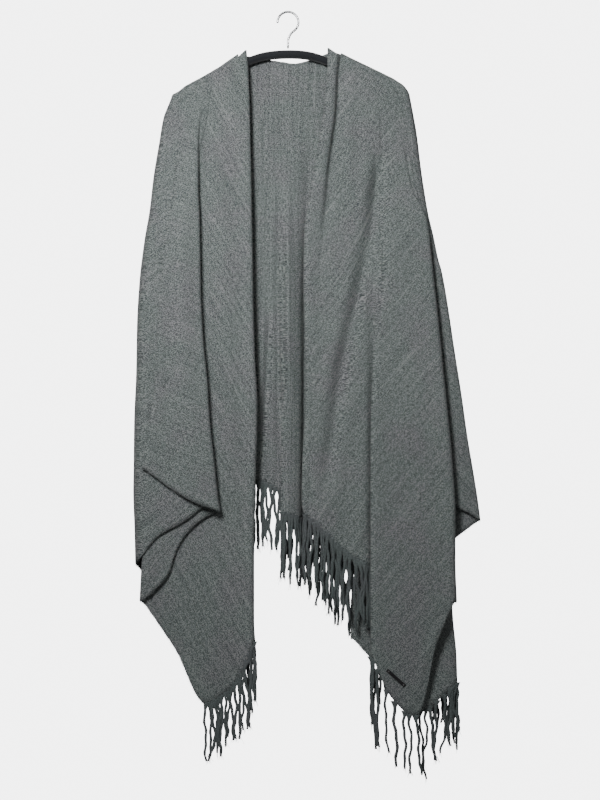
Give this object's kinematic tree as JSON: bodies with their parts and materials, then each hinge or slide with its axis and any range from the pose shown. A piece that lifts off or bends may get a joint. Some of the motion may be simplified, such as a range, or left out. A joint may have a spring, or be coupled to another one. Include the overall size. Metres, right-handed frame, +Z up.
{
  "type": "poncho scarf on a clothes hanger",
  "caption": "Open-front woven poncho scarf with fringed hems, draped over a clothes hanger so that its fronts hang in folds beside the slit.",
  "frame": {"origin": "inside of the top of the hanger's hook, where it is held on a rail", "axes": "+Z up, -Y towards the viewer of the front, +X to the viewer's right"},
  "size_m": [0.5967, 0.1004, 1.3194],
  "materials": {
    "wool_green_grey": "soft matt heather weave, grey-green, with frayed side edges and twisted fringe",
    "hanger_black": "black flocked hanger",
    "hook_steel": "plain bright wire hook",
    "tag_black": "bare black bar, satin",
    "rivet_steel": "small polished rivets"
  },
  "bodies": {
    "root": {"poncho_cloth": "wool_green_grey", "fringe_front_left": "wool_green_grey", "fringe_back": "wool_green_grey", "fringe_front_right": "wool_green_grey", "hanger_arms": "hanger_black", "hanger_hook": "hook_steel", "bar_tag": "tag_black", "tag_rivet_upper": "rivet_steel", "tag_rivet_lower": "rivet_steel"}
  },
  "joints": []
}
